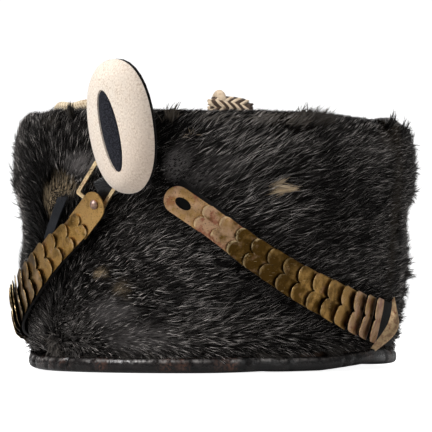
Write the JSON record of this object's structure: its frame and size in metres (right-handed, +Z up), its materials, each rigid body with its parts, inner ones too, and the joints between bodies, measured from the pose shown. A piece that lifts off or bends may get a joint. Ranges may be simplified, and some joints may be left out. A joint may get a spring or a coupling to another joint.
{
  "type": "busby",
  "caption": "Low oval fur cap with a leather-bound base, an upright oval field badge, a cord on its recessed crown, and scaled brass chin straps laid up across the front.",
  "frame": {"origin": "middle of the object's box in plan, on the surface that it stands on", "axes": "+Z up through the crown, -Y out of the cap's front, +X towards the wearer's left"},
  "size_m": [0.2026, 0.2628, 0.1527],
  "materials": {
    "fur": "long, coarse, semi-gloss black-brown hair",
    "leather": "blackened leather, rolled and wrinkled, with a soft shine",
    "shell_leather": "plain stiff brown leather, dull",
    "crown_cloth": "plain dark wool cloth, dull",
    "brass": "old brass, tarnished brown, bright on worn edges",
    "badge_wool": "cream wool, closely wound, dull",
    "badge_black": "blue-black wool, dull",
    "cord_wool": "cream wool cord, closely wound, dull",
    "slide_wool": "cream and dark brown braid, dull"
  },
  "bodies": {
    "root": {"fur_cover": "fur", "base_binding": "leather", "left_strap": "leather", "right_strap": "leather", "right_buckle_tab": "leather", "right_keeper": "leather", "badge_back": "leather", "shell": "shell_leather", "crown": "crown_cloth", "left_scale_01": "brass", "left_scale_02": "brass", "left_scale_03": "brass", "left_scale_04": "brass", "left_scale_05": "brass", "left_scale_06": "brass", "left_scale_07": "brass", "left_scale_08": "brass", "left_scale_09": "brass", "left_scale_10": "brass", "left_scale_11": "brass", "left_scale_12": "brass", "left_scale_13": "brass", "left_scale_14": "brass", "left_scale_15": "brass", "left_eye_plate": "brass", "left_anchor": "brass", "right_scale_01": "brass", "right_scale_02": "brass", "right_scale_03": "brass", "right_scale_04": "brass", "right_scale_05": "brass", "right_scale_06": "brass", "right_scale_07": "brass", "right_scale_08": "brass", "right_scale_09": "brass", "right_scale_10": "brass", "right_scale_11": "brass", "right_scale_12": "brass", "right_scale_13": "brass", "right_scale_14": "brass", "right_scale_15": "brass", "right_end_plate": "brass", "right_end_rivet": "brass", "right_buckle": "brass", "right_anchor": "brass", "badge_post": "brass", "badge_dome": "badge_wool", "badge_inlay": "badge_black", "cap_line": "cord_wool", "cap_line_slide": "slide_wool"}
  },
  "joints": []
}
